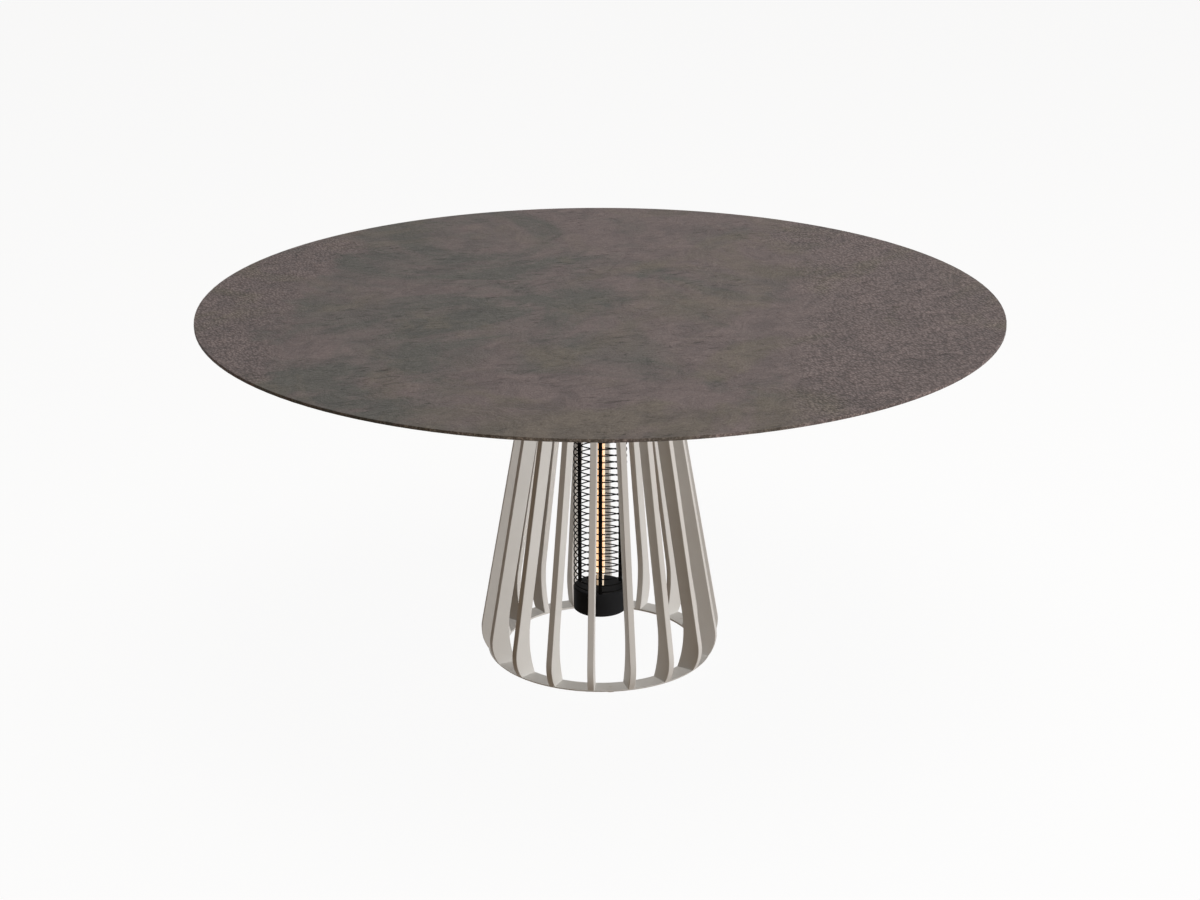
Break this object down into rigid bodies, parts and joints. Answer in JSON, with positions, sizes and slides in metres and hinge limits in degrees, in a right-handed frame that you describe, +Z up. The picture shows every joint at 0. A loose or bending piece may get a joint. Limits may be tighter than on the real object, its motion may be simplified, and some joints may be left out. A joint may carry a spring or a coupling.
{
  "type": "round dining table",
  "caption": "Round stone-topped dining table on a flared cage of upright painted metal fins and a floor ring, with a caged infrared heater hung inside the base.",
  "frame": {"origin": "on the floor under the middle of the round top", "axes": "+Z up; -Y is the front, where the first fin stands; +X to the right seen from the front"},
  "size_m": [1.6158, 1.6158, 0.75],
  "materials": {
    "top_stone": "matte",
    "fin_paint": "satin",
    "disc_black": "matte",
    "heater_black": "satin",
    "guard_black": "satin",
    "quartz": "gloss",
    "carbon": "matte",
    "lamp_ceramic": "matte",
    "zinc_steel": "satin",
    "insert_brass": "satin",
    "glide_nylon": "matte",
    "gland_plastic": "matte",
    "board_green": "satin",
    "switch_plastic": "satin",
    "button_plastic": "satin"
  },
  "bodies": {
    "table": {"base_ring": "fin_paint", "button_switch": "switch_plastic", "cable_gland": "gland_plastic", "control_board": "board_green", "cover_screws": "zinc_steel", "disc_screws": "zinc_steel", "drum_cover": "heater_black", "filament": "carbon", "fin_01": "fin_paint", "fin_02": "fin_paint", "fin_03": "fin_paint", "fin_04": "fin_paint", "fin_05": "fin_paint", "fin_06": "fin_paint", "fin_07": "fin_paint", "fin_08": "fin_paint", "fin_09": "fin_paint", "fin_10": "fin_paint", "fin_11": "fin_paint", "fin_12": "fin_paint", "fin_13": "fin_paint", "fin_14": "fin_paint", "fin_15": "fin_paint", "fin_16": "fin_paint", "fin_17": "fin_paint", "fin_18": "fin_paint", "fin_foot_screws": "zinc_steel", "fin_top_plate": "fin_paint", "fin_top_screws": "zinc_steel", "floor_glides": "glide_nylon", "gland_nut": "gland_plastic", "guard_bar_1": "guard_black", "guard_bar_2": "guard_black", "guard_bar_3": "guard_black", "guard_coil": "guard_black", "hanger": "heater_black", "hanger_nut": "zinc_steel", "hanger_screws": "zinc_steel", "head_lid": "heater_black", "heater_drum": "heater_black", "heater_head": "heater_black", "lid_screws": "zinc_steel", "lower_lamp_cap": "lamp_ceramic", "lower_lamp_socket": "lamp_ceramic", "plate_bolts": "zinc_steel", "quartz_tube": "quartz", "socket_screws": "zinc_steel", "support_disc": "disc_black", "table_top": "top_stone", "top_inserts": "insert_brass", "upper_lamp_cap": "lamp_ceramic", "upper_lamp_socket": "lamp_ceramic"},
    "button": {"power_button": "button_plastic"}
  },
  "joints": [
    {"name": "power_button_press", "type": "slide", "parent": "table", "child": "button", "axis": [0, 0, 1], "range_m": [0, 0.002], "stiffness_N_per_m": 300, "springref_m": -0.002}
  ]
}
